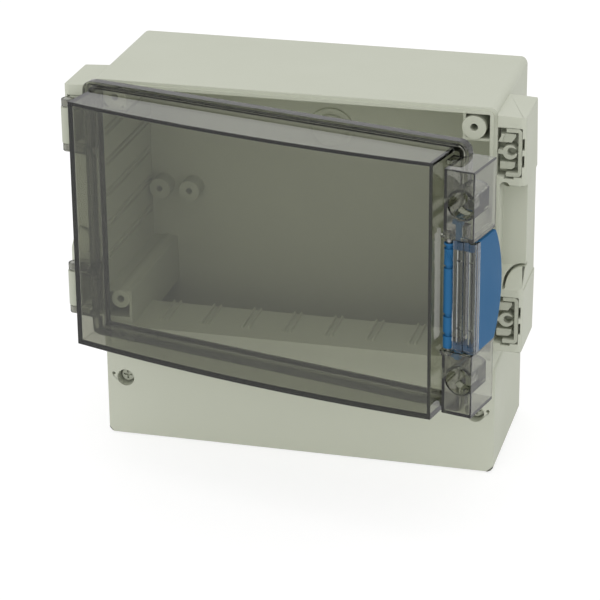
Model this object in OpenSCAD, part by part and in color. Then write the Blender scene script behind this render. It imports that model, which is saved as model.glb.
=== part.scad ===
// Wall enclosure with a hinged, see-through front door and a closed terminal section.
// Z is up, the door faces -Y, and the origin is the centre of the flat bottom face.

/* [Housing] */
// Width of the box over its side walls
box_w = 225.4; // [190:0.2:270]
// Height of the box
box_h = 217; // [186:0.5:260]
// Depth of the box from its back to the terminal cover's face
box_d = 84.6; // [72:0.2:102]
// How far the door rim stands ahead of the terminal cover
rim_proud = 8.5; // [6:0.1:11]
// Height of the section below the door
lower_h = 66; // [55:0.5:79]
// Thickness of the side, top and bottom walls
wall = 4.3; // [3.6:0.1:5]
// Thickness of the back wall
back_t = 3.2; // [2.6:0.1:4]
// Height of the ledge below the door opening
ledge_t = 6; // [5:0.1:7.2]
// Radius of the box's long edges
edge_r = 4.2; // [2:0.1:4.3]
// Radius of the upright edges at the back
back_r = 3; // [1:0.1:4]
// Depth of the outer step round the rim's front face
rim_step = 0.8; // [0.4:0.1:1.2]
// Width of that step
rim_step_w = 2; // [1.4:0.1:2.4]

/* [Wings] */
// Width of each side wing beyond the box wall
wing_w = 16; // [15:0.1:19]
// Depth of the wings, front to back
wing_d = 35.9; // [30:0.1:43]
// How far the wings' front face stands ahead of the rim
wing_proud = 1.2; // [0.6:0.1:1.3]
// Lean of a wing's outer face from its middle to its ends
wing_lean = 0.6; // [0:0.1:1.4]
// Depth of the finger recess in a wing
recess_d = 10; // [9.4:0.1:12]
// Height of the finger recess at its floor
recess_h = 49; // [42:0.5:52]
// Height of the ramp at the recess's lower end
recess_ramp = 11; // [8:0.5:12]

/* [Inserts] */
// Height of one insert and its socket
socket_h = 27.3; // [26:0.1:28.5]
// Width of one insert's socket
socket_w = 13.5; // [13:0.1:14.2]
// Depth of one insert's socket
socket_d = 13; // [12:0.1:16]
// Spacing of the sockets, as a share of the wing's height
socket_share = 0.71; // [0.7:0.005:0.72]
// Clearance of an insert in its socket, on each side
insert_gap = 0.2; // [0.1:0.05:0.3]
// Bar thickness of an insert's frame
insert_bar = 2.3; // [1.8:0.1:2.6]

/* [Door] */
// Distance from the rim to the door's front edges
door_reach = 33.5; // [30:0.1:40]
// Bulge of the door's front pane
door_bulge = 5.6; // [4.5:0.1:7]
// Thickness of the door's walls
door_t = 2.5; // [2:0.1:3]
// Width that the door's window loses against the box, on each side
door_inset = 5.3; // [5:0.1:5.6]
// Width of the door's flange beyond the box, on each side
flange_out = 2.3; // [1.8:0.1:2.6]
// Depth of the flange, front to back
flange_d = 7; // [6:0.1:8.5]
// Gap between the closed door's flange and the rim
door_gap = 1.6; // [1.6:0.1:2]
// Angle at which the door stands open
door_open = 13.3; // [0:0.1:60]

/* [Hinge] */
// Distance of the hinge axis from the box wall
hinge_out = 10.1; // [9.7:0.1:10.6]
// Distance of the hinge axis ahead of the rim
hinge_fwd = 9.9; // [9.4:0.1:10.6]
// Diameter of a hinge pin
pin_dia = 4; // [3:0.1:4.6]
// Radial clearance of a hinge pin in its barrel
pin_fit = 0.05; // [0.02:0.01:0.09]
// Outer radius of the hinge barrels
barrel_r = 3.9; // [3.6:0.1:6.2]
// Height of a hinge barrel
barrel_h = 20.6; // [18:0.1:22]
// Height of each door knuckle beside a barrel
knuckle_h = 4.2; // [3.4:0.1:5]

/* [Latch] */
// Width of the latch blocks on the door
block_w = 16.6; // [16:0.1:18]
// Reach of the latch blocks ahead of the rim
block_reach = 28.8; // [27:0.1:30]
// Height of a latch block above and below its bore
block_half = 18.8; // [16:0.1:20]
// Diameter of the access bore in a latch block
bore_dia = 14.2; // [12:0.1:14.4]
// Wall thickness of the latch blocks
block_t = 1.2; // [1:0.1:1.4]
// Diameter of the lever's axle
axle_dia = 3; // [2:0.1:3.4]
// Radial clearance of the lever on its axle
axle_fit = 0.06; // [0.02:0.01:0.09]
// Thickness of the lever's blade
blade_t = 2.6; // [2:0.1:3]
// Bulge of the blade's rear edge
blade_bulge = 8.8; // [7:0.1:10]

/* [Terminal cover] */
// Depth of the terminal cover
cover_d = 34.5; // [30:0.1:36]
// Thickness of the cover's walls
cover_t = 3.2; // [2.6:0.1:3.6]
// Diameter of the screw wells in the cover
well_dia = 9.8; // [9:0.1:11]
// Depth of a screw well's floor under the front face
well_depth = 9; // [8:0.5:12]
// Diameter of the cover screws' shanks
screw_dia = 4; // [3:0.1:4.4]

/* [Fixings] */
// Diameter of the two upper front-plate bosses
boss_top_dia = 13.2; // [11:0.1:14]
// Diameter of the two lower front-plate bosses
boss_low_dia = 10.8; // [9:0.1:12]
// Diameter of the front-plate bosses' screw holes
boss_hole = 4; // [3:0.1:4.8]
// Distance of the bosses from the box wall
boss_in = 12.9; // [12.4:0.1:14]
// Diameter of the board bosses on the back wall
board_boss_dia = 12.6; // [10:0.1:14]
// Spacing of a pair of board bosses
board_pitch = 18; // [16:0.1:20]
// Diameter of the wall fixing holes
wall_hole = 4.6; // [4:0.1:5.2]

/* [Hidden] */
$fn = 48;

housing_grey = [0.757, 0.768, 0.710];
insert_grey = [0.700, 0.712, 0.655];
smoke = [0.36, 0.36, 0.33, 0.55];
clear = [0.72, 0.74, 0.72, 0.5];
lever_blue = [0.243, 0.408, 0.549];
rubber_black = [0.09, 0.09, 0.09];
steel = [0.68, 0.69, 0.70];

eps = 0.01;
hw = box_w / 2;
in_w = hw - wall;
rim_y = -box_d / 2 - rim_proud;
back_y = box_d + rim_proud;
seam_y = rim_proud + cover_d;
ledge_z = lower_h + ledge_t;
top_in = box_h - wall + 0.2;
ledge_back = seam_y - 4;
lip_t = 3;
lip_z = lower_h - 6;

wing_z0 = lower_h + 12.6;
wing_z1 = box_h - 3;
mid_z = (wing_z0 + wing_z1) / 2 - 1.1;
socket_off = (wing_z1 - wing_z0) * socket_share / 2;
centres = [mid_z + socket_off, mid_z - socket_off];
ins_w = socket_w - 2 * insert_gap;
ins_hh = socket_h / 2 - insert_gap;
recess_z1 = centres[0] - socket_h / 2 - 4.7;
recess_z0 = recess_z1 - recess_h;

door_hw = hw - door_inset;
door_z0 = lower_h + 8.6;
door_z1 = box_h - 1.5;
flange_hw = hw + flange_out;
flange_z0 = lower_h + 2;
flange_z1 = box_h + 1.8;
flange_r = 6;
pane_r = (door_hw * door_hw + door_bulge * door_bulge) / (2 * door_bulge);
hinge_x = -hw - hinge_out;
hinge_y = -hinge_fwd;
gasket_w = 2.6;
gasket_proud = 0.5;

block_x0 = hw - 1.2;
block_x1 = block_x0 + block_w;
bore_x = (block_x0 + block_x1) / 2 + 1.1;
block_low = [centres[0] - block_half, centres[1] - block_half - 0.4];
block_high = [centres[0] + block_half - 0.2, centres[1] + block_half - 3.3];
lever_z0 = block_high[1] + 0.8;
lever_z1 = block_low[0] - 0.8;
axle_x = block_x0 + 1.5;
axle_y = -block_reach + 4.2;
lever_r = 2.8;
spring_h = 2.4;
hook_h = 2.4;
hook_x = block_x0 + block_t + 0.9;
riser_x = axle_x + lever_r + 0.6;
hook_y = -1.2;
lever_rib = 3.2;
hook_z = [centres[0] - ins_hh + 0.8, centres[1] + ins_hh - hook_h - 0.8];

// ---------------------------------------------------------------- helpers

// Moves children from the rim's frame (y = 0 on the rim's face) into the part's frame.
module from_rim() {
    translate([0, rim_y, 0]) children();
}

// A box between two corner points.
module block(a, b) {
    translate(a) cube([b[0] - a[0], b[1] - a[1], b[2] - a[2]]);
}

// A flat shape drawn in X and Z, given depth from y0 to y1.
module slab(y0, y1) {
    translate([0, y1, 0]) rotate([90, 0, 0]) linear_extrude(y1 - y0) children();
}

// A rectangle from (x0, z0) to (x1, z1) with round corners of radius r.
module round_rect(x0, z0, x1, z1, r) {
    translate([x0 + r, z0]) square([x1 - x0 - 2 * r, z1 - z0]);
    translate([x0, z0 + r]) square([x1 - x0, z1 - z0 - 2 * r]);
    for (x = [x0 + r, x1 - r], z = [z0 + r, z1 - r])
        translate([x, z]) circle(r);
}

// A round bar along Y between y0 and y1.
module rod_y(x, z, d, y0, y1) {
    translate([x, y1, z]) rotate([90, 0, 0]) cylinder(d = d, h = y1 - y0);
}

// Places children, drawn for the closed door, at the door's open angle.
module on_door() {
    from_rim() translate([hinge_x, hinge_y, 0]) rotate([0, 0, -door_open])
        translate([-hinge_x, -hinge_y, 0]) children();
}

// ---------------------------------------------------------------- housing

module box_outline() {
    intersection() {
        slab(0, back_y) round_rect(-hw, 0, hw, box_h, edge_r);
        linear_extrude(box_h) {
            translate([-hw, 0]) square([box_w, back_y - back_r]);
            translate([-hw + back_r, 0]) square([box_w - 2 * back_r, back_y]);
            for (s = [-1, 1]) translate([s * (hw - back_r), back_y - back_r]) circle(back_r);
        }
    }
}

module shell() {
    difference() {
        box_outline();
        // room for the terminal cover
        block([-hw - 1, -1, -1], [hw + 1, seam_y, lower_h]);
        // device room, above the ledge
        block([-in_w, -1, ledge_z], [in_w, back_y - back_t, top_in]);
        // lower room, open towards the terminal cover
        block([-in_w, seam_y - 1, wall], [in_w, back_y - back_t, lip_z]);
        block([-in_w, seam_y + lip_t, wall], [in_w, back_y - back_t, ledge_z + 1]);
        block([-in_w, ledge_back, lower_h + 2], [in_w, seam_y + lip_t + 1, ledge_z + 1]);
        // relief under the ledge
        block([-in_w + 4, 6, lower_h - 1], [in_w - 4, ledge_back - 3, ledge_z - 3]);
        // outer step of the rim's face
        difference() {
            slab(-1, rim_step) translate([0, 0]) square([3 * box_w, 3 * box_h], center = true);
            slab(-2, rim_step + 1)
                round_rect(-hw + rim_step_w, lower_h + 0.4, hw - rim_step_w, box_h - rim_step_w, 3);
        }
    }
}

// Plan of the right wing: a rounded outer front edge.
module wing_plan() {
    r = 4;
    translate([hw, -wing_proud]) square([wing_w - r, wing_d]);
    translate([hw - 1, wing_proud]) square([wing_w + 1 - r, wing_d - 2 * wing_proud]);
    translate([hw, -wing_proud + r]) square([wing_w, wing_d - r]);
    translate([hw + wing_w - r, -wing_proud + r]) circle(r);
}

module wing_blank() {
    x = hw + wing_w;
    intersection() {
        slab(-wing_proud - 1, wing_d)
            polygon([[hw - 2, wing_z0], [x - wing_lean, wing_z0], [x, recess_z0],
                     [x, recess_z1], [x - wing_lean, wing_z1 - 0.9], [hw - 2, wing_z1]]);
        translate([0, 0, wing_z0 - 1]) linear_extrude(wing_z1 - wing_z0 + 2) wing_plan();
    }
}

// The finger recess: a set-back floor with a ramp at its lower end.
module finger_recess() {
    floor_y = recess_d - wing_proud;
    translate([hw + 2, 0, 0]) rotate([90, 0, 90]) linear_extrude(wing_w)
        polygon([[-wing_proud - 2, recess_z0 - recess_ramp - 2.2], [-wing_proud - 2, recess_z1],
                 [floor_y, recess_z1], [floor_y, recess_z0]]);
    // shallow step of the outer face along the recess
    block([hw + wing_w - 0.6, -wing_proud - 1, recess_z0 - recess_ramp],
          [hw + wing_w + 1, wing_d + 1, recess_z1]);
    // deep curved slot at the top of the ramp, down its inner side
    arc_x = hw + 13.8;
    arc_z = recess_z0 - 8.6;
    slab(-wing_proud - 1, floor_y + 4) intersection() {
        translate([arc_x - 10, arc_z - 2.2]) square([16, 13]);
        difference() {
            translate([arc_x, arc_z]) circle(9.7);
            translate([arc_x, arc_z]) circle(8.3);
        }
    }
    // pocket at the upper inner corner
    rod_y(hw + 4.4, recess_z1 - 1.2, 5.6, -wing_proud - 1, floor_y + 6);
}

module wing() {
    difference() {
        wing_blank();
        finger_recess();
        for (z = centres) {
            block([hw, -wing_proud - 1, z - socket_h / 2], [hw + socket_w, socket_d, z + socket_h / 2]);
            // slits beside the insert's frame
            for (s = [-1, 1])
                block([hw + socket_w - eps, -wing_proud - 1, z + s * 4.75 - 3.05],
                      [hw + socket_w + 1.1, 5, z + s * 4.75 + 3.05]);
            // slot under or over the frame
            block([hw + 4, -wing_proud - 1, z - socket_h / 2 - 1.1],
                  [hw + 9, 5, z - socket_h / 2 + eps]);
        }
    }
}

boss_x = hw - boss_in;
boss_zs = [top_in - 7.8, ledge_z + 15.6];
well_x = boss_x - 4.6;

// A front-plate boss with the walls of its corner well, on the right, i = 0 upper, 1 lower.
module corner_boss(i) {
    z = boss_zs[i];
    dia = [boss_top_dia, boss_low_dia][i];
    web_z = i == 0 ? z - 6.2 : z + 4.6;
    foot_z = ledge_z - 7.6;
    rod_y(boss_x, z, dia, 1, back_y - 1);
    block([well_x, 2.4, web_z - 1.6], [in_w + 1, back_y - 1, web_z]);
    if (i == 0) block([well_x - 1.6, 2.4, web_z - 1.6], [well_x, back_y - 1, top_in + 1]);
    if (i == 1) {
        block([well_x - 1.6, seam_y, foot_z], [well_x, back_y - 1, web_z]);
        block([well_x - 1.6, 2.4, lower_h], [well_x, seam_y + eps, web_z]);
        block([well_x, 2.4, ledge_z - 1], [in_w + 1, ledge_back, ledge_z + 4.4]);
    }
}

module card_guides() {
    n = 5;
    pitch = (boss_zs[0] - boss_zs[1] - 8.5) / (n + 1);
    for (i = [0:n - 1], dz = [-1.7, 1.7]) {
        z = boss_zs[1] + 23 + i * pitch + dz;
        block([in_w - 1.4, 8, z - 0.6], [in_w + 1, back_y - 8, z + 0.6]);
    }
}

// Pairs of ribs across the rear part of the ledge.
module ledge_guides() {
    n = 8;
    pitch = (2 * in_w - 49.5) / (n - 1);
    for (i = [0:n - 1], dx = [-1.9, 1.9]) {
        x = -in_w + 30.2 + i * pitch + dx;
        block([x - 0.6, ledge_back - 27, ledge_z - 1], [x + 0.6, ledge_back, ledge_z + 1.6]);
    }
}

module board_bosses() {
    for (s = [-1, 1], k = [0, 1])
        rod_y(s * (hw - 11.7 - k * board_pitch), 125, board_boss_dia, back_y - back_t - 10, back_y - 1);
}

module wall_disc() {
    difference() {
        rod_y(0, mid_z + 20, 28, back_y - back_t - 1.2, back_y - 1);
        rod_y(0, mid_z + 20, 24, back_y - back_t - 2, back_y - back_t);
    }
    rod_y(0, mid_z + 20, 20, back_y - back_t - 1.2, back_y - 1);
}

cover_screw_x = hw - 10.9;
cover_screw_z = lower_h * 0.53;

module terminal_posts() {
    for (s = [-1, 1]) rod_y(s * cover_screw_x, cover_screw_z, 9.4, seam_y + 0.1, back_y - 1);
}

wall_hole_x = hw - 24.7;
wall_hole_zs = [box_h - 17, 14];

module housing() {
    color(housing_grey) from_rim() difference() {
        union() {
            shell();
            wing();
            mirror([1, 0, 0]) wing();
            for (m = [0, 1]) mirror([m, 0, 0]) {
                corner_boss(0);
                corner_boss(1);
                card_guides();
            }
            ledge_guides();
            board_bosses();
            wall_disc();
            terminal_posts();
        }
        for (s = [-1, 1], z = boss_zs) rod_y(s * boss_x, z, boss_hole, 0, 18);
        for (s = [-1, 1], k = [0, 1])
            rod_y(s * (hw - 11.7 - k * board_pitch), 125, 3.4, back_y - back_t - 11, back_y - back_t);
        for (s = [-1, 1]) rod_y(s * cover_screw_x, cover_screw_z, screw_dia - 0.8, seam_y, seam_y + 18);
        for (s = [-1, 1], z = wall_hole_zs) rod_y(s * wall_hole_x, z, wall_hole, back_y - 20, back_y + 1);
    }
}

// ---------------------------------------------------------------- terminal section

cover_z1 = lower_h - 0.3;
well_floor = rim_proud + well_depth;

module terminal_cover() {
    color(housing_grey) from_rim() difference() {
        union() {
            difference() {
                slab(rim_proud, seam_y) round_rect(-hw, 0, hw, cover_z1, edge_r);
                slab(rim_proud + cover_t, seam_y + 1)
                    round_rect(-hw + cover_t, cover_t, hw - cover_t, cover_z1 - cover_t, 1.5);
            }
            // columns round the screw wells
            for (s = [-1, 1])
                rod_y(s * cover_screw_x, cover_screw_z, well_dia + 4, rim_proud + 1, seam_y - 0.1);
        }
        for (s = [-1, 1]) {
            rod_y(s * cover_screw_x, cover_screw_z, well_dia, rim_proud - 1, well_floor);
            rod_y(s * cover_screw_x, cover_screw_z, screw_dia + 0.6, rim_proud, seam_y + 1);
            // lead-seal hole beside the well
            rod_y(s * (hw - 3.8), cover_screw_z + 2, 1.7, rim_proud - 1, rim_proud + 6);
        }
        // groove for the gasket
        terminal_loop(seam_y - 1.2, seam_y + 1);
    }
}

// A loop that follows the cover's rear edge, from y0 to y1.
module terminal_loop(y0, y1) {
    a = 1;
    b = 2.3;
    difference() {
        slab(y0, y1) round_rect(-hw + a, a, hw - a, cover_z1 - a, 3);
        slab(y0 - 1, y1 + 1) round_rect(-hw + b, b, hw - b, cover_z1 - b, 1.8);
    }
}

module terminal_gasket() {
    color(rubber_black) from_rim() terminal_loop(seam_y - 1.2, seam_y);
}

module terminal_screws() {
    color(steel) from_rim() for (s = [-1, 1]) difference() {
        union() {
            rod_y(s * cover_screw_x, cover_screw_z, well_dia - 2.6, well_floor - 4.2, well_floor - 1.2);
            rod_y(s * cover_screw_x, cover_screw_z, screw_dia - 0.8, well_floor - 2, seam_y + 12);
        }
        // cross slot
        for (a = [0, 90])
            translate([s * cover_screw_x, well_floor - 4.2, cover_screw_z]) rotate([0, a, 0])
                cube([5, 3.2, 1.1], center = true);
    }
}

module screw_seals() {
    color(rubber_black) from_rim() for (s = [-1, 1]) difference() {
        rod_y(s * cover_screw_x, cover_screw_z, well_dia - 3.2, well_floor - 1.2, well_floor);
        rod_y(s * cover_screw_x, cover_screw_z, screw_dia - 0.8, well_floor - 2, well_floor + 1);
    }
}

// ---------------------------------------------------------------- inserts

// Left end of the frame's upper and lower bars, clear of the latch hooks.
bar_x0 = 4.6;

// The frame that snaps into a socket; x = 0 is its inner side, z = 0 its middle.
module insert_frame() {
    r = 2.4;
    difference() {
        slab(-0.8, 8) intersection() {
            round_rect(-2 * r, -ins_hh, ins_w, ins_hh, r);
            translate([bar_x0, -ins_hh]) square([ins_w, 2 * ins_hh]);
        }
        block([-1, -2, -ins_hh + insert_bar], [ins_w - 2, 9, ins_hh - insert_bar]);
    }
    block([0, 7, -ins_hh], [ins_w, socket_d - insert_gap, ins_hh]);
}

module catch_insert(z) {
    color(insert_grey) from_rim() translate([hw + insert_gap, 0, z]) {
        insert_frame();
        // bevelled ledges above and below the cradle
        slab(0.2, 8) polygon([[1.6, 5.4], [7.4, 5.4], [9.6, 8.6], [9.6, 10.2], [1.6, 10.2]]);
        slab(0.6, 8) polygon([[1.2, -9.8], [7.6, -9.8], [9.2, -8.4], [9.6, -5.6], [1.2, -5.6]]);
        // slanted cheek beside the upper ledge
        slab(-0.6, 8) polygon([[0.3, 5.6], [2.4, 5.6], [3.9, 10.2], [2.2, 10.2]]);
        // round cradle, open to one side, on its stem
        difference() {
            slab(-0.4, 8) union() {
                translate([6.6, 0]) circle(4);
                translate([0.3, -1.2]) square([4, 2.4]);
            }
            slab(-1, 5) union() {
                translate([7.4, 0.4]) circle(2.2);
                translate([7.4, 0.4]) rotate(-20) square([7, 2.4]);
            }
        }
    }
}

module hinge_insert(z) {
    color(insert_grey) from_rim() difference() {
        union() {
            translate([-hw - insert_gap, 0, z]) mirror([1, 0, 0]) insert_frame();
            block([-hw - insert_gap - ins_w, 3, z - barrel_h / 2], [-hw - insert_gap, 8, z + barrel_h / 2]);
            // arm and barrel that carry the pin
            block([hinge_x - barrel_r + 0.7, hinge_y, z - barrel_h / 2],
                  [hinge_x + barrel_r - 0.7, 8, z + barrel_h / 2]);
            translate([hinge_x, hinge_y, z - barrel_h / 2]) cylinder(r = barrel_r, h = barrel_h);
        }
        translate([hinge_x, hinge_y, z - barrel_h / 2 - 1])
            cylinder(d = pin_dia + 2 * pin_fit, h = barrel_h + 2);
    }
}

module hinge_pin(z) {
    len = barrel_h + 2 * knuckle_h + 0.6;
    color(steel) on_door() translate([hinge_x, hinge_y, z - len / 2]) cylinder(d = pin_dia, h = len);
}

// ---------------------------------------------------------------- door

// Plan of the door's tray, drawn from inset a: bulged front, straight sides.
module tray_plan(a, y_back) {
    intersection() {
        translate([0, -door_reach - door_bulge + pane_r]) circle(pane_r - a, $fn = 720);
        translate([-door_hw + a, -door_reach - door_bulge - 1])
            square([2 * (door_hw - a), door_reach + door_bulge + 1 + y_back]);
    }
}

module tray() {
    difference() {
        translate([0, 0, door_z0]) linear_extrude(door_z1 - door_z0) tray_plan(0, -door_gap);
        translate([0, 0, door_z0 + door_t]) linear_extrude(door_z1 - door_z0 - 2 * door_t)
            tray_plan(door_t, 1);
    }
}

module flange() {
    y1 = -door_gap;
    y0 = y1 - flange_d;
    difference() {
        union() {
            slab(y0, y0 + 1.4) round_rect(-flange_hw + 1.3, flange_z0 + 1.3, flange_hw - 1.3, flange_z1 - 1.3,
                                          flange_r - 1.3);
            slab(y0 + 1.4, y1) round_rect(-flange_hw, flange_z0, flange_hw, flange_z1, flange_r);
        }
        slab(y0 - 1, y1 + 1)
            round_rect(-door_hw + door_t, door_z0 + door_t, door_hw - door_t, door_z1 - door_t, 1);
    }
}

// The loop in which the door's gasket lies, over the middle of the rim's face.
module gasket_loop(y0, y1) {
    cx = (in_w + hw) / 2;
    difference() {
        slab(y0, y1) round_rect(-cx - gasket_w / 2, ledge_z - 3.4, cx + gasket_w / 2, box_h - 1.4, 3);
        slab(y0 - 1, y1 + 1)
            round_rect(-cx + gasket_w / 2, ledge_z - 3.4 + gasket_w, cx - gasket_w / 2,
                       box_h - 1.4 - gasket_w, 1);
    }
}

// One latch block: an open-backed shell with an access bore, i = 0 upper, 1 lower.
module latch_block(i) {
    z0 = block_low[i];
    z1 = block_high[i];
    y1 = -door_gap - 0.2;
    difference() {
        union() {
            difference() {
                block([block_x0, -block_reach, z0], [block_x1, y1, z1]);
                block([block_x0 + block_t, -block_reach + block_t + 0.6, z0 + block_t],
                      [block_x1 - block_t, y1 + 1, z1 - block_t]);
            }
            intersection() {
                rod_y(bore_x, centres[i], bore_dia + 2 * block_t, -block_reach, -9.7);
                block([block_x0, -block_reach, z0], [block_x1, y1, z1]);
            }
        }
        rod_y(bore_x, centres[i], bore_dia, -block_reach - 1, -11);
    }
    // half-moon web inside the bore
    intersection() {
        rod_y(bore_x, centres[i], bore_dia + 0.4, -22, -10);
        translate([bore_x, 0, centres[i]]) rotate([0, 45, 0]) block([0, -23, -10], [10, -9, 10]);
        block([block_x0, -block_reach, z0], [block_x1, y1, z1]);
    }
    // web to the door's side wall
    block([door_hw - eps, -17, z0], [block_x0 + 0.5, -door_gap - flange_d / 2, z0 + 2.2]);
    block([door_hw - eps, -17, z1 - 2.2], [block_x0 + 0.5, -door_gap - flange_d / 2, z1]);
}

module knuckles() {
    for (z = centres, s = [-1, 1]) {
        z0 = s > 0 ? z + barrel_h / 2 + 0.35 : z - barrel_h / 2 - 0.35 - knuckle_h;
        difference() {
            union() {
                translate([hinge_x, hinge_y, z0]) cylinder(r = barrel_r - 0.3, h = knuckle_h);
                block([hinge_x, hinge_y - barrel_r + 1, z0], [-door_hw + eps, hinge_y + barrel_r - 1, z0 + knuckle_h]);
            }
            translate([hinge_x, hinge_y, z0 - 1]) cylinder(d = pin_dia, h = knuckle_h + 2);
        }
    }
}

seat_t = 2.4;
axle_z0 = block_high[1] - seat_t;
axle_z1 = block_low[0] + seat_t;

module door_cover() {
    color(smoke) on_door() difference() {
        union() {
            tray();
            flange();
            latch_block(0);
            latch_block(1);
            knuckles();
            // seats for the lever's axle
            for (z = [axle_z0, axle_z1 - seat_t])
                block([axle_x - lever_r - 0.6, -block_reach + 0.6, z], [axle_x + lever_r, axle_y + 2, z + seat_t]);
        }
        gasket_loop(-door_gap - 3, 0);
        translate([axle_x, axle_y, axle_z0 - 1]) cylinder(d = axle_dia, h = axle_z1 - axle_z0 + 2);
        // slots in the blocks' facing walls and in the flange for the lever's hooks
        for (i = [0, 1]) {
            z = [block_low[0] - 0.5, block_high[1] - seat_t - 0.5][i];
            block([hook_x - 0.5, axle_y + 2.1, z], [block_x1 - 5, 1, z + seat_t + 1]);
            block([riser_x - 0.4, axle_y - 2.2, z], [riser_x + 4.2, axle_y + 2.2, z + seat_t + 1]);
            block([hook_x - 0.5, axle_y + 2.1, hook_z[i] - 0.5], [block_x1 - 1.5, 1, hook_z[i] + hook_h + 0.5]);
        }
    }
}

module door_gasket() {
    color(rubber_black) on_door() gasket_loop(-door_gap - 3, -gasket_proud);
}

// ---------------------------------------------------------------- latch

bar_x = [axle_x + lever_r + 0.2, block_x1 + 1.3];
flute_r = 2;

// Clear channel with two flutes that covers the lever's front.
module grip_bar() {
    z0 = lever_z0;
    h = lever_z1 - lever_z0;
    color(clear) on_door() difference() {
        union() {
            block([bar_x[0], -block_reach + 1.6, z0], [bar_x[1], axle_y - 0.2, z0 + h]);
            block([bar_x[1] - 1.6, -block_reach + 1.6, z0], [bar_x[1], axle_y + 1.8, z0 + h]);
            for (x = [bar_x[0] + 4.4, bar_x[1] - 2.6])
                translate([x, -block_reach + flute_r, z0]) cylinder(r = flute_r, h = h);
        }
        // ring grooves
        for (z = [mid_z - 18.5, mid_z + 18.5])
            block([bar_x[0] - 1, -block_reach - 1, z - 0.4], [bar_x[1] + 1, -block_reach + 0.5, z + 0.4]);
    }
}

module lever_axle() {
    color(steel) on_door() translate([axle_x, axle_y, axle_z0])
        cylinder(d = axle_dia, h = axle_z1 - axle_z0);
}

// Close-wound spring round the axle, above the lever's barrel.
module lever_spring() {
    color(steel) on_door() translate([axle_x, axle_y, lever_z1 - spring_h + 0.4]) difference() {
        cylinder(r = axle_dia / 2 + 1, h = spring_h);
        translate([0, 0, -1]) cylinder(r = axle_dia / 2 + 0.2, h = spring_h + 2);
    }
}

// Side outline of the blade: straight front, bulged rear edge (drawn in Y and Z).
module blade_outline() {
    half = (lever_z1 - lever_z0) / 2;
    r = (half * half + blade_bulge * blade_bulge) / (2 * blade_bulge);
    y_end = -3.4;
    intersection() {
        translate([axle_y + 1.8, -half]) square([block_reach + 20, 2 * half]);
        union() {
            translate([-block_reach, -half]) square([block_reach + y_end, 2 * half]);
            intersection() {
                translate([y_end + blade_bulge - r, 0]) circle(r, $fn = 180);
                translate([y_end - 1, -half]) square([40, 2 * half]);
            }
        }
    }
}

module latch_lever() {
    h = lever_z1 - lever_z0;
    color(lever_blue) on_door() difference() {
        union() {
            // barrel, cut short for the spring
            translate([axle_x, axle_y, lever_z0]) cylinder(r = lever_r, h = h - spring_h);
            // ribs from the barrel to the blade, behind the ends of the grip bar
            block([axle_x, axle_y, lever_z0], [bar_x[1] - 1.8, axle_y + 2.4, lever_z0 + lever_rib]);
            block([axle_x, axle_y, lever_z1 - spring_h - lever_rib],
                  [bar_x[1] - 1.8, axle_y + 2.4, lever_z1 - spring_h]);
            block([axle_x + lever_r, axle_y, lever_z1 - spring_h - 1], [bar_x[1] - 1.8, axle_y + 2.4, lever_z1]);
            // blade
            translate([block_x1 + 1.1 - blade_t, 0, (lever_z0 + lever_z1) / 2]) rotate([90, 0, 90])
                linear_extrude(blade_t) blade_outline();
        }
        translate([axle_x, axle_y, lever_z0 - 1]) cylinder(d = axle_dia + 2 * axle_fit, h = h + 2);
        // ring grooves of the barrel
        for (dz = [-24, -13.3, 13.3, 24])
            translate([axle_x, axle_y, mid_z + dz - 1]) difference() {
                cylinder(r = lever_r + 1, h = 2);
                translate([0, 0, -1]) cylinder(r = lever_r - 0.9, h = 4);
                translate([0, -0.1, -1]) cube([30, 30, 4]);
            }
    }
}

// A hook that rises from the lever's end and runs back to the catch, i = 0 upper, 1 lower.
module latch_hook(i) {
    x0 = hook_x;
    z = hook_z[i];
    root_z = i == 0 ? lever_z1 : lever_z0;
    tip_z = i == 0 ? z + hook_h : z;
    color(lever_blue) on_door() {
        block([riser_x, axle_y + 0.2, min(root_z, tip_z)], [riser_x + 3, axle_y + 2.4, max(root_z, tip_z)]);
        block([x0, axle_y + 2.2, z], [riser_x + 3, axle_y + 4.6, z + hook_h]);
        block([x0, axle_y + 2.2, z], [x0 + 2, hook_y, z + hook_h]);
        // nose
        block([x0, hook_y - 1.4, z], [hw + insert_gap + bar_x0 - 0.4, hook_y, z + hook_h]);
    }
}

// ---------------------------------------------------------------- parts

housing();
terminal_cover();
terminal_gasket();
terminal_screws();
screw_seals();
catch_insert(centres[0]);  // catch_insert_upper
catch_insert(centres[1]);  // catch_insert_lower
hinge_insert(centres[0]);  // hinge_insert_upper
hinge_insert(centres[1]);  // hinge_insert_lower
door_cover();
door_gasket();
hinge_pin(centres[0]);  // hinge_pin_upper
hinge_pin(centres[1]);  // hinge_pin_lower
grip_bar();
lever_axle();
lever_spring();
latch_lever();
latch_hook(0);  // latch_hook_upper
latch_hook(1);  // latch_hook_lower
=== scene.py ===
# %% [markdown]
# # A hinged enclosure with a smoked window
#
# The real thing is a wall box for switchgear: a grey moulded housing, a smoked
# clear door that hangs on its left side, and a blue lever that works the
# door's latch. The frame gives every piece its size and its place. This lesson
# softens the edges, gives each piece its finish, and lights the box on a pale
# floor.

# %% Load the frame
import math

import bmesh
import bpy
from mathutils import Matrix, Vector
from mathutils.bvhtree import BVHTree


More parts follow.
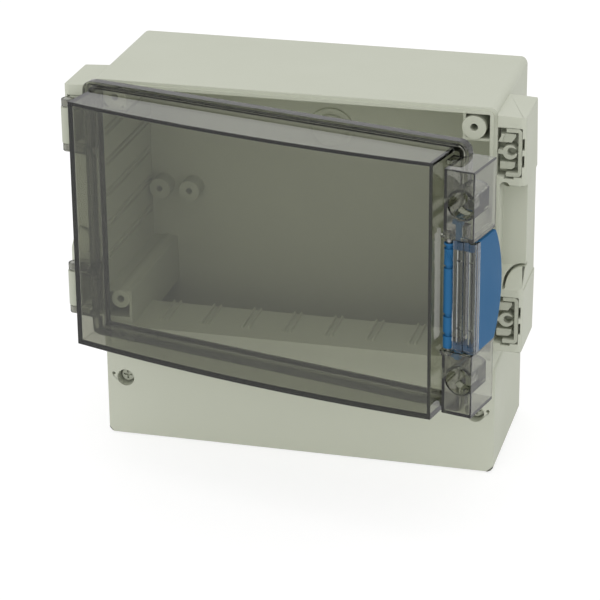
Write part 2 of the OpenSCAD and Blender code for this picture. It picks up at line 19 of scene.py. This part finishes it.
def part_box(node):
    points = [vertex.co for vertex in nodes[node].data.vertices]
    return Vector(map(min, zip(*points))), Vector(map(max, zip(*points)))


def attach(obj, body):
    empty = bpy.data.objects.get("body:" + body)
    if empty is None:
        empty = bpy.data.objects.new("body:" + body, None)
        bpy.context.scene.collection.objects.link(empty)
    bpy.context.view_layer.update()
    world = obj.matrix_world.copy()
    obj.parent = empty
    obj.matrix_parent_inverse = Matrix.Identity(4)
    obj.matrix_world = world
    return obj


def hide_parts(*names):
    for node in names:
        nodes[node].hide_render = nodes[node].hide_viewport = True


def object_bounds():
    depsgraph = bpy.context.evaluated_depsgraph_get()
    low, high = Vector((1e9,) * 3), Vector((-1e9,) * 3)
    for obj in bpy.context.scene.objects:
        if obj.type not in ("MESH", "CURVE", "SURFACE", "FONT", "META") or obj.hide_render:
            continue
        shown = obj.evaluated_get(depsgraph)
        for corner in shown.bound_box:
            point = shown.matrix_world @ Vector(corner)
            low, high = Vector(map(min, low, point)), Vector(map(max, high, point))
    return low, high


MM = 0.001
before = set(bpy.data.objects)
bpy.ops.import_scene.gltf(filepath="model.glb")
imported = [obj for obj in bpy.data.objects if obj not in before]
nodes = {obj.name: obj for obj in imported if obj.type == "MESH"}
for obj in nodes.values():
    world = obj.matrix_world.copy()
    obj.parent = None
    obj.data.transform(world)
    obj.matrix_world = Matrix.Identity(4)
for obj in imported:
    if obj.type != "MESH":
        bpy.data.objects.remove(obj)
cad_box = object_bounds()
print("nodes in the frame:", len(nodes))
print("box of the frame, mm:", [[round(c / MM, 1) for c in corner] for corner in cad_box])

# %% [markdown]
# ## Camera
#
# A long lens from far away keeps the box's edges almost parallel, as in a
# catalogue. The camera stands a little to the right, looks down a little, and
# is shifted so that the box sits in the upper half of the frame.

# %% The camera
AZIMUTH, ELEVATION, ROLL = (math.radians(a) for a in (14.84, 21.37, -0.54))
EYE = Vector((0.3336, -1.2922, 0.6435))
SENSOR_WIDTH = 36
FOCAL_LENGTH = 151.8
SHIFT = -0.1228

forward = Vector((-math.sin(AZIMUTH) * math.cos(ELEVATION),
                  math.cos(AZIMUTH) * math.cos(ELEVATION),
                  -math.sin(ELEVATION)))
level = Vector((math.cos(AZIMUTH), math.sin(AZIMUTH), 0))
upward = level.cross(forward)
right = level * math.cos(ROLL) + upward * math.sin(ROLL)
up = right.cross(forward)

camera_data = bpy.data.cameras.new("Camera")
camera_data.sensor_width = SENSOR_WIDTH
camera_data.lens = FOCAL_LENGTH
camera_data.shift_y = SHIFT
camera_data.clip_start, camera_data.clip_end = 0.05, 50
camera = bpy.data.objects.new("Camera", camera_data)
bpy.context.scene.collection.objects.link(camera)
camera.matrix_world = Matrix((
    (right.x, up.x, -forward.x, EYE.x),
    (right.y, up.y, -forward.y, EYE.y),
    (right.z, up.z, -forward.z, EYE.z),
    (0, 0, 0, 1)))
bpy.context.scene.camera = camera
print("camera at", [round(c, 3) for c in EYE], "lens", camera_data.lens)

# %% [markdown]
# ## Light and floor
#
# Grey plastic shows its form by small steps of brightness, so the light is a
# bright, even room with one large soft lamp above and another in front. The
# room looks white to the camera and in reflections, and lights the box a
# little less than that.


# %% Small helpers for shader nodes
def link(tree, source, target):
    tree.links.new(source, target)


def seen_rays(tree, names):
    """The largest of some outputs of Light Path: 1 for a ray of any of those kinds."""
    path = tree.nodes.new("ShaderNodeLightPath")
    value = path.outputs[names[0]]
    for name in names[1:]:
        most = tree.nodes.new("ShaderNodeMath")
        most.operation = "MAXIMUM"
        link(tree, value, most.inputs[0])
        link(tree, path.outputs[name], most.inputs[1])
        value = most.outputs[0]
    return value


def fresh_material(name):
    """A new node material with only its output in it."""
    material = bpy.data.materials.new(name)
    material.use_nodes = True
    tree = material.node_tree
    tree.nodes.clear()
    return material, tree, tree.nodes.new("ShaderNodeOutputMaterial")


# the rays that see the room and the floor, also in a reflection or through the door
SEEN = ("Is Camera Ray", "Is Glossy Ray", "Is Transmission Ray")

# %% The room
ROOM_LIGHT = 0.84

world = bpy.data.worlds.new("White room")
bpy.context.scene.world = world
world.use_nodes = True
tree = world.node_tree
tree.nodes.clear()
lit = tree.nodes.new("ShaderNodeBackground")
lit.inputs["Color"].default_value = (1, 1, 1, 1)
lit.inputs["Strength"].default_value = ROOM_LIGHT
seen = tree.nodes.new("ShaderNodeBackground")
seen.inputs["Color"].default_value = (1, 1, 1, 1)
seen.inputs["Strength"].default_value = 1
mix = tree.nodes.new("ShaderNodeMixShader")
link(tree, seen_rays(tree, SEEN), mix.inputs[0])
link(tree, lit.outputs[0], mix.inputs[1])
link(tree, seen.outputs[0], mix.inputs[2])
link(tree, mix.outputs[0], tree.nodes.new("ShaderNodeOutputWorld").inputs["Surface"])
bpy.context.scene.view_settings.view_transform = "Standard"


# %% The lamps
def soft_lamp(name, place, aim, side, watts):
    """A square lamp that faces a point."""
    data = bpy.data.lights.new(name, "AREA")
    data.size = side
    data.energy = watts
    lamp = bpy.data.objects.new(name, data)
    bpy.context.scene.collection.objects.link(lamp)
    lamp.location = place
    lamp.rotation_euler = (Vector(aim) - Vector(place)).to_track_quat("-Z", "Y").to_euler()


middle = (0, 0, 0.11)
soft_lamp("Lamp above", (0.3, -0.9, 2.2), middle, 1.6, 7)
soft_lamp("Lamp in front", (-0.3, -2.4, 0.7), middle, 1.8, 13)

# %% The floor
HALF_FLOOR = 4.0
GAP_UNDER_BOX = 0.5 * MM
FLOOR_PAINT = 0.9
FLOOR_GLOW = 1.2
GLOW_SHARE = 0.6

mesh = bpy.data.meshes.new("Floor")
bm = bmesh.new()
bmesh.ops.create_grid(bm, x_segments=1, y_segments=1, size=HALF_FLOOR)
bm.to_mesh(mesh)
bm.free()
floor = bpy.data.objects.new("Floor", mesh)
bpy.context.scene.collection.objects.link(floor)
floor.location.z = cad_box[0][2] - GAP_UNDER_BOX

material, tree, output = fresh_material("Pale floor")
paint = tree.nodes.new("ShaderNodeBsdfPrincipled")
paint.inputs["Base Color"].default_value = (FLOOR_PAINT, FLOOR_PAINT, FLOOR_PAINT, 1)
paint.inputs["Roughness"].default_value = 0.9
paint.inputs["Specular IOR Level"].default_value = 0
glow = tree.nodes.new("ShaderNodeEmission")
glow.inputs["Strength"].default_value = FLOOR_GLOW
share = tree.nodes.new("ShaderNodeMath")
share.operation = "MULTIPLY"
share.inputs[1].default_value = GLOW_SHARE
link(tree, seen_rays(tree, SEEN), share.inputs[0])
mix = tree.nodes.new("ShaderNodeMixShader")
link(tree, share.outputs[0], mix.inputs[0])
link(tree, paint.outputs[0], mix.inputs[1])
link(tree, glow.outputs[0], mix.inputs[2])
link(tree, mix.outputs[0], output.inputs["Surface"])
mesh.materials.append(material)
print("floor at z =", round(floor.location.z, 4))

# %% [markdown]
# ## The skin of moulded plastic
#
# A mould that was eroded by sparks leaves the plastic with a fine, even grain.
# The colour drifts by a hair where the melt flowed, and the shine is broken by
# the grain. All the plastics share one node group for this, each with its own
# grain, drift and shine.


# %% The node group for moulded skin
# how often each pattern repeats in a metre, and how deep the grain is
FLOW_SCALE = 9
RUBBED_SCALE = 30
GRAIN_SCALE = 1800
GRAIN_DEPTH = 0.04 * MM
# a rubbed place has this share of the material's roughness, at the least and at the most
RUBBED_SHARE = (0.9, 1.12)


def socket(group, name, kind, way, value=None):
    made = group.interface.new_socket(name=name, in_out=way, socket_type=kind)
    if value is not None:
        made.default_value = value


def noise(tree, coordinates, scale, detail=2.0):
    node = tree.nodes.new("ShaderNodeTexNoise")
    node.inputs["Scale"].default_value = scale
    node.inputs["Detail"].default_value = detail
    link(tree, coordinates, node.inputs["Vector"])
    return node.outputs["Fac"]


def remap(tree, value, low, high, source=(0.3, 0.7)):
    """value carried from the source range to low..high; low and high may be sockets."""
    node = tree.nodes.new("ShaderNodeMapRange")
    node.inputs["From Min"].default_value, node.inputs["From Max"].default_value = source
    link(tree, value, node.inputs["Value"])
    for name, end in (("To Min", low), ("To Max", high)):
        if isinstance(end, (int, float)):
            node.inputs[name].default_value = end
        else:
            link(tree, end, node.inputs[name])
    return node.outputs["Result"]


def math_node(tree, operation, a, b):
    node = tree.nodes.new("ShaderNodeMath")
    node.operation = operation
    for i, value in enumerate((a, b)):
        if isinstance(value, (int, float)):
            node.inputs[i].default_value = value
        else:
            link(tree, value, node.inputs[i])
    return node.outputs[0]


def make_skin():
    group = bpy.data.node_groups.new("Moulded skin", "ShaderNodeTree")
    socket(group, "Color", "NodeSocketColor", "INPUT", (0.5, 0.5, 0.5, 1))
    socket(group, "Drift", "NodeSocketFloat", "INPUT", 0.02)
    socket(group, "Shine", "NodeSocketFloat", "INPUT", 0.5)
    socket(group, "Grain", "NodeSocketFloat", "INPUT", 0.1)
    socket(group, "Color", "NodeSocketColor", "OUTPUT")
    socket(group, "Roughness", "NodeSocketFloat", "OUTPUT")
    socket(group, "Normal", "NodeSocketVector", "OUTPUT")
    given = group.nodes.new("NodeGroupInput")
    result = group.nodes.new("NodeGroupOutput")
    place = group.nodes.new("ShaderNodeTexCoord").outputs["Object"]

    # colour: slow drift where the melt flowed
    slow = noise(group, place, FLOW_SCALE, 3)
    dark = math_node(group, "SUBTRACT", 1, given.outputs["Drift"])
    light = math_node(group, "ADD", 1, given.outputs["Drift"])
    factor = remap(group, slow, dark, light)
    scaled = group.nodes.new("ShaderNodeVectorMath")
    scaled.operation = "SCALE"
    link(group, given.outputs["Color"], scaled.inputs[0])
    link(group, factor, scaled.inputs["Scale"])
    link(group, scaled.outputs[0], result.inputs["Color"])

    # roughness: rubbed places change it a little
    rubbed = noise(group, place, RUBBED_SCALE, 4)
    low, high = (math_node(group, "MULTIPLY", given.outputs["Shine"], share)
                 for share in RUBBED_SHARE)
    link(group, remap(group, rubbed, low, high), result.inputs["Roughness"])

    # grain: a fine bump
    grain = noise(group, place, GRAIN_SCALE, 1)
    bump = group.nodes.new("ShaderNodeBump")
    bump.inputs["Distance"].default_value = GRAIN_DEPTH
    link(group, given.outputs["Grain"], bump.inputs["Strength"])
    link(group, grain, bump.inputs["Height"])
    link(group, bump.outputs[0], result.inputs["Normal"])
    return group


skin = make_skin()
print("moulded skin:", len(skin.nodes), "nodes")


# %% Solid plastics, rubber and steel
def srgb(r, g, b):
    """A screen colour, 0 to 255, as the linear colour that a shader takes."""
    return tuple(((c / 255 + 0.055) / 1.055) ** 2.4 if c > 10 else c / 255 / 12.92
                 for c in (r, g, b)) + (1,)


def wear_skin(tree, surface, colour, drift, shine, grain):
    """Give a surface the moulded skin's colour and roughness; shine is its roughness."""
    group = tree.nodes.new("ShaderNodeGroup")
    group.node_tree = skin
    for name, value in (("Color", colour), ("Drift", drift), ("Shine", shine), ("Grain", grain)):
        group.inputs[name].default_value = value
    link(tree, group.outputs["Color"], surface.inputs["Base Color"])
    link(tree, group.outputs["Roughness"], surface.inputs["Roughness"])
    return group


def skinned(name, colour, drift, shine, grain, metallic=0.0, glance=0.25):
    """An opaque material with the moulded skin."""
    material, tree, output = fresh_material(name)
    surface = tree.nodes.new("ShaderNodeBsdfPrincipled")
    group = wear_skin(tree, surface, colour, drift, shine, grain)
    link(tree, group.outputs["Normal"], surface.inputs["Normal"])
    surface.inputs["Metallic"].default_value = metallic
    surface.inputs["Specular IOR Level"].default_value = glance
    link(tree, surface.outputs[0], output.inputs["Surface"])
    return material


grey_housing = skinned("Grey housing plastic", srgb(194, 197, 182), 0.012, 0.6, 0.25)
grey_insert = skinned("Grey insert plastic", srgb(180, 183, 168), 0.015, 0.42, 0.12)
blue_plastic = skinned("Blue lever plastic", srgb(38, 95, 138), 0.03, 0.5, 0.1, glance=0.15)
black_rubber = skinned("Black seal rubber", srgb(36, 36, 35), 0.1, 0.75, 0.4)
bright_steel = skinned("Zinc plated steel", srgb(168, 168, 164), 0.04, 0.34, 0.15, metallic=1.0)


# %% [markdown]
# ## Clear plastics
#
# The door is smoked polycarbonate. It bends light like glass, and its dye
# takes light away along the whole path inside it: a wall seen face on is a
# light smoke, and the same wall seen edge on is nearly black. So most of the
# tint is a Volume Absorption inside the walls, and the rest is the colour of
# their surface. A shadow ray or a diffuse ray passes straight through, because
# bent light would take far longer to render for little gain inside the box.

# %% Clear materials
PLASTIC_IOR = 1.5


def clear_plastic(name, tint, drift, shine, dye, density):
    """tint is what a wall's two faces pass; dye and density colour the depth, per metre."""
    material, tree, output = fresh_material(name)
    surface = tree.nodes.new("ShaderNodeBsdfPrincipled")
    wear_skin(tree, surface, tint, drift, shine, grain=0.0)
    surface.inputs["Transmission Weight"].default_value = 1.0
    surface.inputs["IOR"].default_value = PLASTIC_IOR
    through = tree.nodes.new("ShaderNodeBsdfTransparent")
    # a wall has two faces, and each passes the square root of its tint
    through.inputs["Color"].default_value = tuple(c ** 0.5 for c in tint[:3]) + (1,)
    mix = tree.nodes.new("ShaderNodeMixShader")
    link(tree, seen_rays(tree, ("Is Shadow Ray", "Is Diffuse Ray")), mix.inputs[0])
    link(tree, surface.outputs[0], mix.inputs[1])
    link(tree, through.outputs[0], mix.inputs[2])
    link(tree, mix.outputs[0], output.inputs["Surface"])
    depth = tree.nodes.new("ShaderNodeVolumeAbsorption")
    depth.inputs["Color"].default_value = dye
    depth.inputs["Density"].default_value = density
    link(tree, depth.outputs[0], output.inputs["Volume"])
    return material


smoked = clear_plastic("Smoked clear plastic", (0.70, 0.70, 0.645, 1), 0.02, 0.03,
                       dye=(0.30, 0.32, 0.22, 1), density=140)
clear = clear_plastic("Clear bar plastic", (0.80, 0.81, 0.81, 1), 0.02, 0.05,
                      dye=(0.35, 0.38, 0.38, 1), density=160)

# %% [markdown]
# ## Softened edges
#
# A mould never has a knife edge: each corner of a moulded piece has a small
# radius, and it is the line of light along it that makes a box look real. A
# copy of the frame's piece is merged into one skin, its flat triangles are
# joined into whole faces, and each edge that has room for it is bevelled. A
# Weighted Normal modifier then keeps the flat faces flat to the eye. Modelling
# each piece again would give the same forms with more risk of a gap, so only
# the spring is made afresh.


# %% Which edges to round
SMOOTH_BELOW = math.radians(31)
# in widths of the bevel: a face's least depth, and the way kept from a bad spot
LEAST_DEPTH = 2.3
KEPT_AWAY = 2


def has_room(edge, width):
    """True if both faces beside a sharp edge are deep enough to be rounded."""
    start = edge.verts[0].co
    along = (edge.verts[1].co - start).normalized()
    for face in edge.link_faces:
        deep = max(((v.co - start) - along * (v.co - start).dot(along)).length
                   for v in face.verts)
        if deep < LEAST_DEPTH * width:
            return False
    return True


def edges_to_round(bm, width, bad_spots):
    return [edge for edge in bm.edges
            if edge.is_manifold and edge.calc_face_angle(0) > SMOOTH_BELOW
            and has_room(edge, width)
            and all((v.co - spot).length > KEPT_AWAY * width for spot in bad_spots for v in edge.verts)]


# %% A rounded copy of a piece
WELD = 0.002 * MM
LEAST_EDGE = 0.001 * MM
FLAT_WITHIN = math.radians(0.05)
TRIES = 6
# in widths of the bevel: a new point farther than this from the old surface ran away
RUNAWAY = 0.7


def merged(mesh):
    """The frame's loose triangles as one skin of whole flat faces."""
    bm = bmesh.new()
    bm.from_mesh(mesh)
    bmesh.ops.remove_doubles(bm, verts=bm.verts, dist=WELD)
    bmesh.ops.dissolve_degenerate(bm, edges=bm.edges, dist=LEAST_EDGE)
    bmesh.ops.dissolve_limit(bm, angle_limit=FLAT_WITHIN, verts=bm.verts,
                             edges=bm.edges, use_dissolve_boundaries=False)
    # a face that bends round a hole would be filled in: cut it into convex ones
    bmesh.ops.connect_verts_concave(bm, faces=[f for f in bm.faces if len(f.verts) > 4])
    return bm


def rounded(node, name, body, material, width, steps=2):
    """Replace a frame node by its copy with softened edges."""
    width = width * MM
    source = merged(nodes[node].data)
    surface = BVHTree.FromBMesh(source)
    source.free()
    bad_spots = []
    for attempt in range(TRIES):
        bm = merged(nodes[node].data)
        chosen = edges_to_round(bm, width, bad_spots)
        bmesh.ops.bevel(bm, geom=chosen, offset=width, offset_type="OFFSET", segments=steps,
                        profile=0.5, affect="EDGES", clamp_overlap=False, material=-1)
        # where edges meet too sharply a bevel runs away: leave those corners as they are
        runaway = {v for v in bm.verts if surface.find_nearest(v.co)[3] > RUNAWAY * width}
        if not runaway or attempt == TRIES - 1:
            break
        bad_spots += [other.co.copy() for v in runaway for edge in v.link_edges
                      for other in edge.verts if other not in runaway]
        bm.free()
    for edge in bm.edges:
        edge.smooth = edge.is_manifold and edge.calc_face_angle(0) < SMOOTH_BELOW
    for face in bm.faces:
        face.smooth = True
        face.material_index = 0
    mesh = bpy.data.meshes.new(name)
    bm.to_mesh(mesh)
    bm.free()
    mesh.materials.append(material)
    piece = bpy.data.objects.new(name, mesh)
    bpy.context.scene.collection.objects.link(piece)
    flat = piece.modifiers.new("Flats stay flat", "WEIGHTED_NORMAL")
    flat.weight = 100
    flat.keep_sharp = True
    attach(piece, body)
    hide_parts(node)
    print(f"{name}: {len(chosen)} edges rounded by {width / MM:.2f} mm, "
          f"{len(bad_spots)} spots left, {len(runaway)} strays")


# %% The grey pieces of the housing
rounded("housing", "Housing", "base", grey_housing, 0.5)
rounded("terminal_cover", "Terminal_cover", "base", grey_housing, 0.5)
for which in ("upper", "lower"):
    rounded("catch_insert_" + which, "Catch_insert_" + which, "base",
            grey_insert, 0.25)
    rounded("hinge_insert_" + which, "Hinge_insert_" + which, "base",
            grey_insert, 0.3)

# %% The door
rounded("door_cover", "Door_cover", "door", smoked, 0.35)
rounded("door_gasket", "Door_gasket", "door", black_rubber, 0.5)

# %% The latch
rounded("latch_lever", "Latch_lever", "latch", blue_plastic, 0.5)
rounded("grip_bar", "Grip_bar", "latch", clear, 0.3)
for which in ("upper", "lower"):
    rounded("latch_hook_" + which, "Latch_hook_" + which, "latch",
            blue_plastic, 0.25)

# %% Pins, screws and seals
rounded("lever_axle", "Lever_axle", "door", bright_steel, 0.3)
for which in ("upper", "lower"):
    rounded("hinge_pin_" + which, "Hinge_pin_" + which, "door", bright_steel, 0.4)
rounded("terminal_screws", "Terminal_screws", "base", grey_insert, 0.15)
rounded("screw_seals", "Screw_seals", "base", black_rubber, 0.15)
rounded("terminal_gasket", "Terminal_gasket", "base", black_rubber, 0.2)

# %% [markdown]
# ## The lever's spring
#
# The frame draws the torsion spring as a tube. Here it is a real coil: a
# round section of wire is spun round the axle, and rises by its own thickness
# with each turn, because the spring is close wound.

# %% Wind the spring
WIRE = 0.36 * MM
SECTION_SIDES = 8
STEPS_PER_TURN = 20
SPRING_WELD = WIRE / 50

low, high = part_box("lever_spring")
centre = (low + high) / 2
coil_radius = (high.x - low.x) / 2 - WIRE
turns = (high.z - low.z - 2 * WIRE) / (2 * WIRE)

bm = bmesh.new()
start = Matrix.Translation((centre.x + coil_radius, centre.y, low.z + WIRE))
bmesh.ops.create_circle(bm, cap_ends=True, segments=SECTION_SIDES, radius=WIRE,
                        matrix=start @ Matrix.Rotation(math.pi / 2, 4, "X"))
steps = round(turns * STEPS_PER_TURN)
bmesh.ops.spin(
    bm, geom=bm.faces[:] + bm.edges[:] + bm.verts[:], cent=(centre.x, centre.y, 0),
    axis=(0, 0, 1), dvec=(0, 0, 2 * WIRE * turns / steps), angle=2 * math.pi * turns,
    steps=steps, use_merge=False)
bmesh.ops.remove_doubles(bm, verts=bm.verts, dist=SPRING_WELD)
bmesh.ops.recalc_face_normals(bm, faces=bm.faces)
for face in bm.faces:
    face.smooth = len(face.verts) == 4
mesh = bpy.data.meshes.new("Lever_spring")
bm.to_mesh(mesh)
bm.free()
mesh.materials.append(bright_steel)
spring = bpy.data.objects.new("Lever_spring", mesh)
bpy.context.scene.collection.objects.link(spring)
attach(spring, "door")
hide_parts("lever_spring")
print("spring turns:", round(turns, 1))
